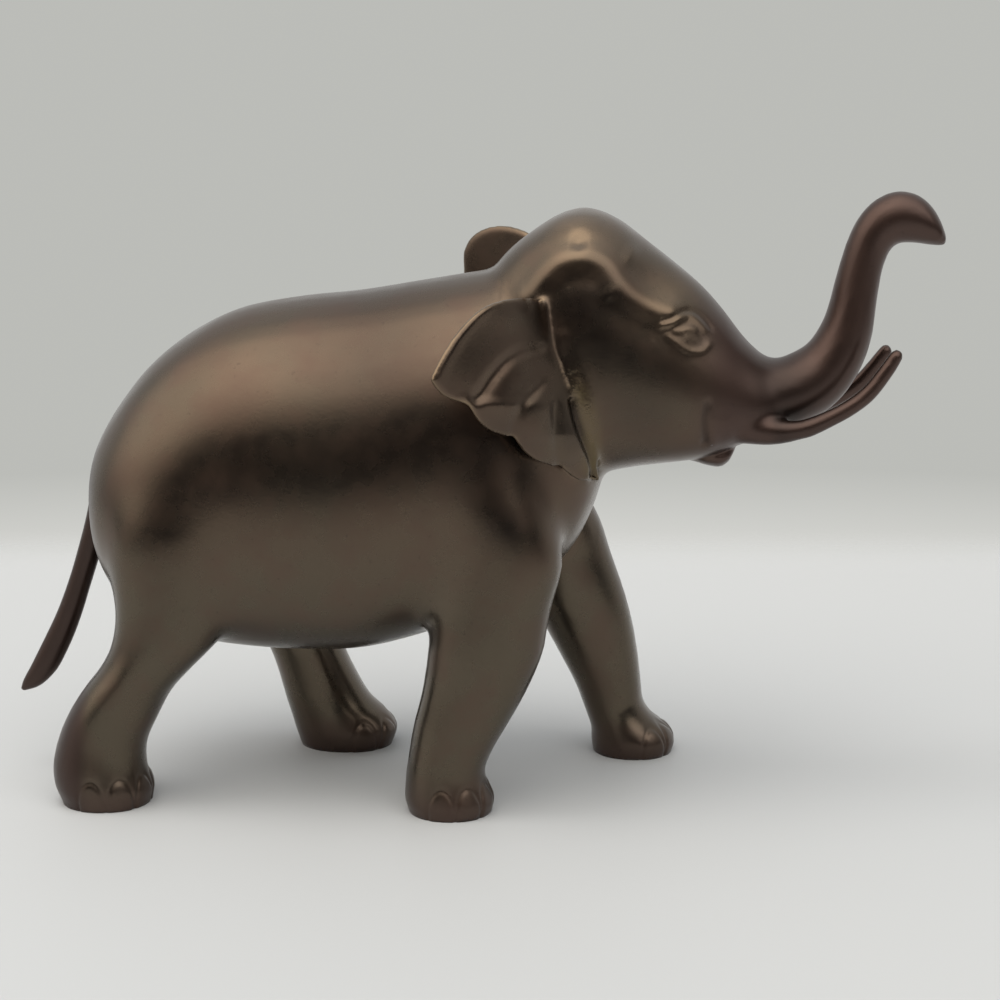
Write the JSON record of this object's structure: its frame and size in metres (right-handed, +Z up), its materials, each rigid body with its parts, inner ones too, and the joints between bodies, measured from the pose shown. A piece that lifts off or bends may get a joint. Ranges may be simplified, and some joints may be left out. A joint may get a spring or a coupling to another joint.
{
  "type": "elephant figurine",
  "caption": "Cast bronze figurine of a walking elephant with spread ears, short tusks and its trunk raised, standing on its own feet.",
  "frame": {"origin": "under the middle of the figure's bounding box, at the height of its soles", "axes": "+X forward, towards the raised trunk; +Y to the elephant's left; +Z up"},
  "size_m": [0.3198, 0.1298, 0.206],
  "materials": {
    "bronze": "polished cast bronze under a worn brown patina"
  },
  "bodies": {
    "root": {"elephant": "bronze"}
  },
  "joints": []
}
